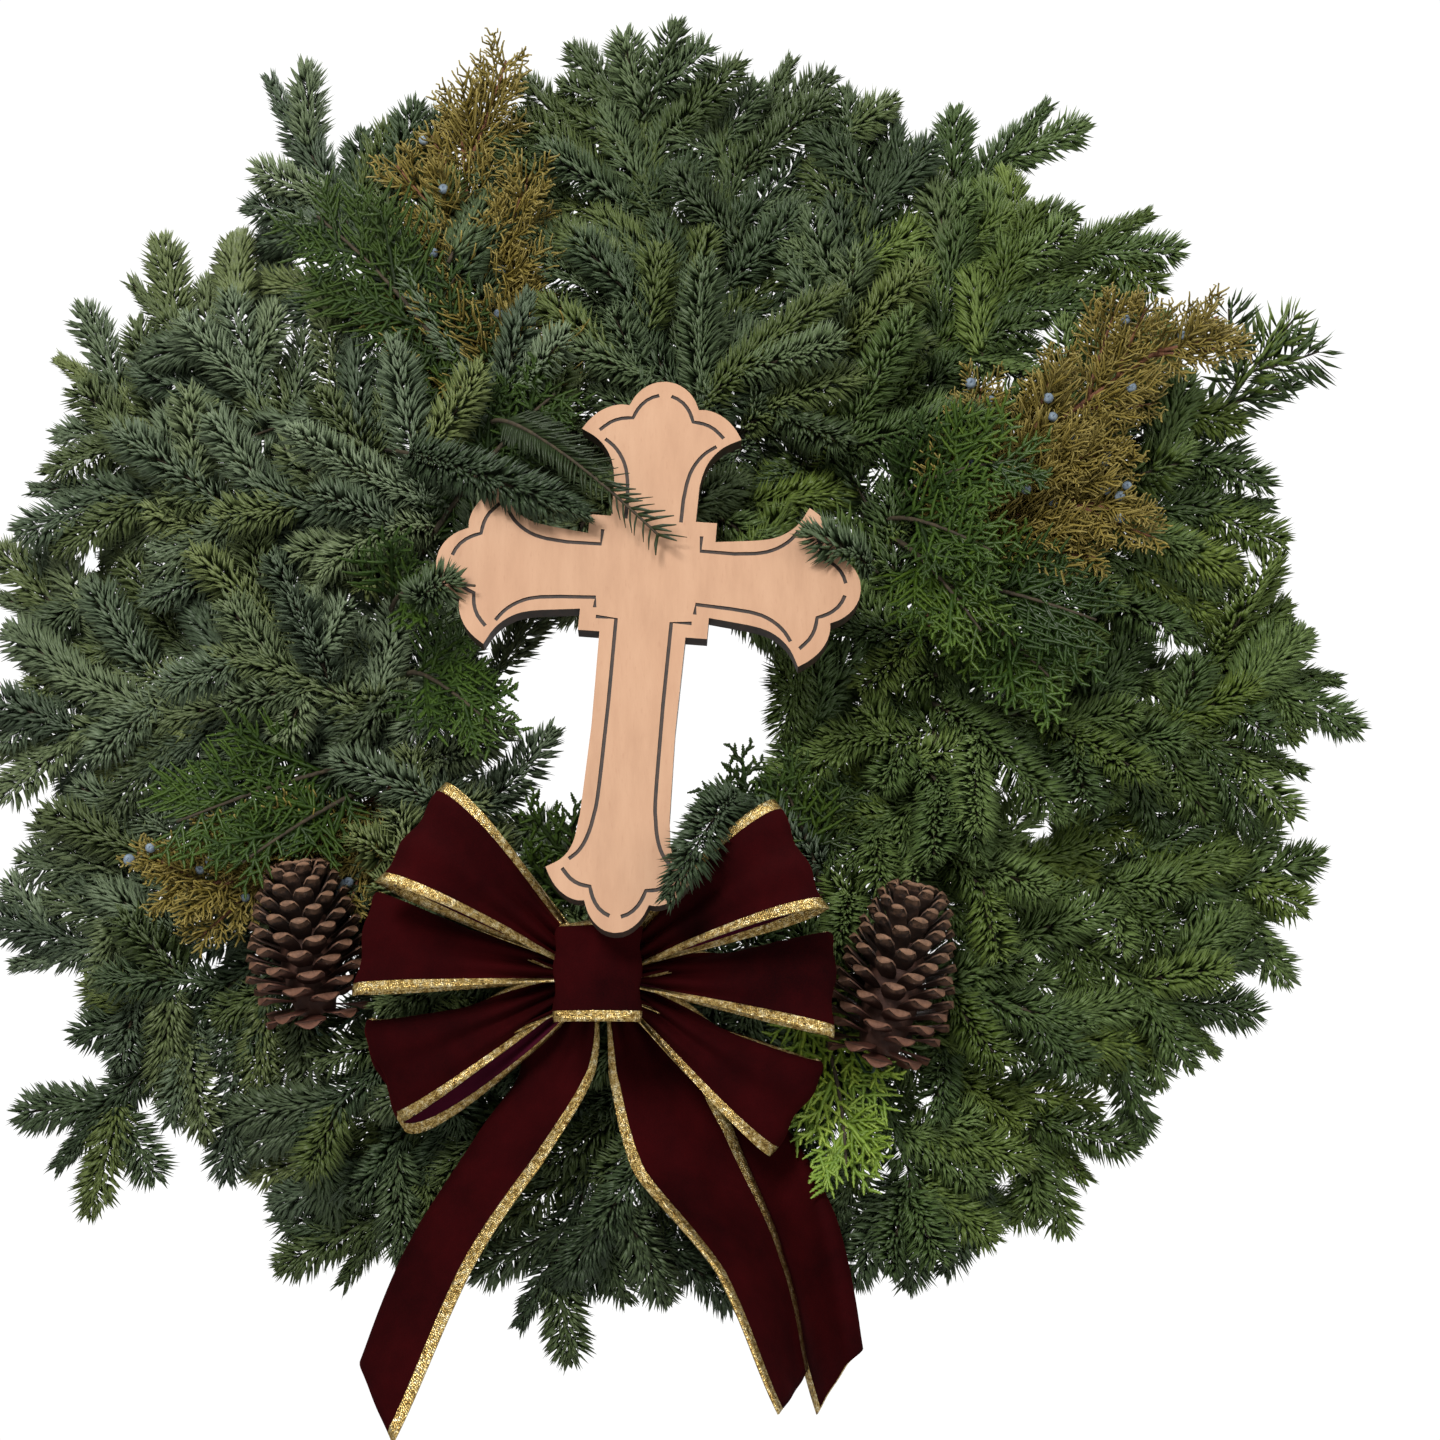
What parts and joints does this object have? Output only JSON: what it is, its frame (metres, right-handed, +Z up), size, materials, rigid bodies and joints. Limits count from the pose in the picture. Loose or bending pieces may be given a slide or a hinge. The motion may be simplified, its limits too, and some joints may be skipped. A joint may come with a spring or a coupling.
{
  "type": "evergreen wreath",
  "caption": "Round fresh evergreen wreath with an off-centre wooden cross in its open middle, a velvet ribbon bow with tails, and two cones.",
  "frame": {"origin": "underside of the outer rail of the wire ring at its top, the point that rests on a nail or hook", "axes": "+Z up as it hangs, -Y towards the viewer (the decorated front), +X to the viewer's right"},
  "size_m": [0.7545, 0.1528, 0.7618],
  "materials": {
    "berry_blue": "pale blue-grey bloom, matt (juniper berries)",
    "binding_wire": "fine dark green florist wire, half gloss",
    "cedar_deep_green": "flat scale leaves, deep green, satin (live cedar foliage)",
    "cedar_green": "flat scale leaves, green, satin (live cedar foliage)",
    "cedar_yellow_green": "flat scale leaves, bright yellow-green, satin (live cedar foliage)",
    "cone_scale": "dark brown dry scales with paler tips, matt",
    "fir_blue_green": "waxy needles, silvery blue-green, matt (live fir foliage)",
    "fir_dark_green": "waxy needles, dark green, matt (live fir foliage)",
    "fir_mid_green": "waxy needles, mid green, matt (live fir foliage)",
    "green_wire": "dark green enamelled steel wire, half gloss",
    "juniper_olive": "fine scale leaves, olive yellow, matt (live juniper foliage)",
    "plywood": "bare pale plywood, edges and engraved line burnt dark by cutting",
    "velvet": "dark burgundy velvet pile with gold mesh edges"
  },
  "bodies": {
    "root": {"bow_binding_wire": "binding_wire", "bow_centre_loop": "velvet", "bow_loops_lower": "velvet", "bow_loops_middle": "velvet", "bow_loops_upper": "velvet", "bow_tail_right": "velvet", "bow_tails_long": "velvet", "cedar_frond_01": "cedar_green", "cedar_frond_02": "cedar_deep_green", "cedar_frond_03": "cedar_deep_green", "cedar_frond_04": "cedar_yellow_green", "cone_left": "cone_scale", "cone_left_binding_wire": "binding_wire", "cone_right": "cone_scale", "cone_right_binding_wire": "binding_wire", "cross_binding_wire_low": "binding_wire", "cross_binding_wire_top": "binding_wire", "fir_bough_01": "fir_mid_green", "fir_bough_02": "fir_dark_green", "fir_bough_03": "fir_dark_green", "fir_bough_04": "fir_dark_green", "fir_bough_05": "fir_dark_green", "fir_bough_06": "fir_dark_green", "fir_bough_07": "fir_mid_green", "fir_bough_08": "fir_mid_green", "fir_bough_09": "fir_blue_green", "fir_bough_10": "fir_blue_green", "fir_bough_11": "fir_blue_green", "fir_bough_12": "fir_mid_green", "fir_bough_13": "fir_mid_green", "fir_bough_14": "fir_dark_green", "fir_bough_15": "fir_dark_green", "fir_bough_16": "fir_dark_green", "fir_bough_17": "fir_dark_green", "fir_bough_18": "fir_dark_green", "fir_bough_19": "fir_mid_green", "fir_bough_20": "fir_mid_green", "fir_bough_21": "fir_blue_green", "fir_bough_22": "fir_blue_green", "fir_bough_23": "fir_blue_green", "fir_bough_24": "fir_mid_green", "fir_bough_25": "fir_dark_green", "fir_bough_26": "fir_dark_green", "fir_bough_27": "fir_mid_green", "fir_bough_28": "fir_mid_green", "fir_bough_29": "fir_blue_green", "fir_bough_30": "fir_blue_green", "fir_bough_31": "fir_blue_green", "fir_bough_32": "fir_blue_green", "juniper_berries_01": "berry_blue", "juniper_berries_02": "berry_blue", "juniper_berries_03": "berry_blue", "juniper_spray_01": "juniper_olive", "juniper_spray_02": "juniper_olive", "juniper_spray_03": "juniper_olive", "juniper_spray_04": "juniper_olive", "wire_ring_with_clamps": "green_wire", "wooden_cross": "plywood"}
  },
  "joints": []
}
